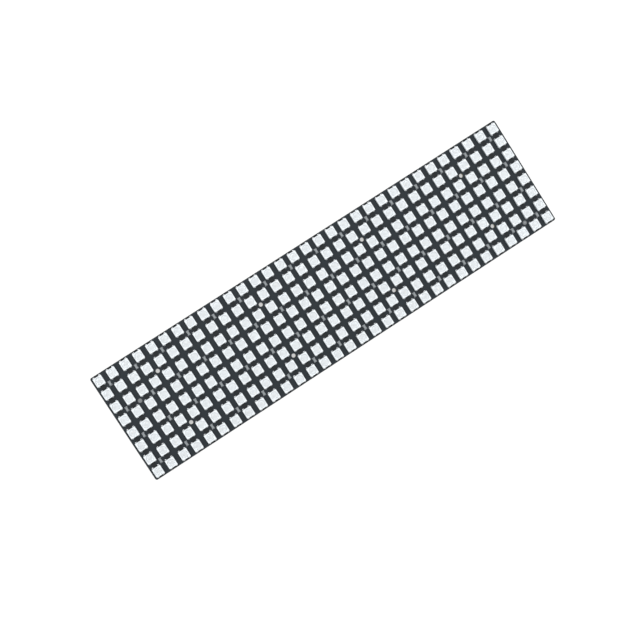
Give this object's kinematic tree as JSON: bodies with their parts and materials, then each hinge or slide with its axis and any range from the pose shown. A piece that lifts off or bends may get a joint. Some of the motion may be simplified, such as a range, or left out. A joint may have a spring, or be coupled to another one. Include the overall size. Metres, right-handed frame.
{
  "type": "rgb led matrix panel",
  "caption": "Rigid black circuit board carrying a wide grid of square white RGB LEDs, with small capacitors and mounting holes between them.",
  "frame": {"origin": "centre of the circuit board's back face", "axes": "+X along the LED rows, the long way; +Y across the rows; +Z out of the LED side"},
  "size_m": [0.2552, 0.0632, 0.0032],
  "materials": {
    "solder_mask": "matte black solder mask on glass epoxy",
    "led_housing": "smooth white moulded plastic",
    "capacitor_ceramic": "dull grey sintered ceramic",
    "tinned_ends": "tin plated and soldered",
    "tinned_copper": "flat tinned copper"
  },
  "bodies": {
    "root": {"circuit_board": "solder_mask", "led_housings_row_1": "led_housing", "led_housings_row_2": "led_housing", "led_housings_row_3": "led_housing", "led_housings_row_4": "led_housing", "led_housings_row_5": "led_housing", "led_housings_row_6": "led_housing", "led_housings_row_7": "led_housing", "led_housings_row_8": "led_housing", "capacitor_bodies_row_1": "capacitor_ceramic", "capacitor_bodies_row_2": "capacitor_ceramic", "capacitor_bodies_row_3": "capacitor_ceramic", "capacitor_bodies_row_4": "capacitor_ceramic", "capacitor_ends_row_1": "tinned_ends", "capacitor_ends_row_2": "tinned_ends", "capacitor_ends_row_3": "tinned_ends", "capacitor_ends_row_4": "tinned_ends", "fiducial_dots": "tinned_copper", "input_pads": "tinned_copper", "output_pads": "tinned_copper", "power_pads": "tinned_copper"}
  },
  "joints": []
}
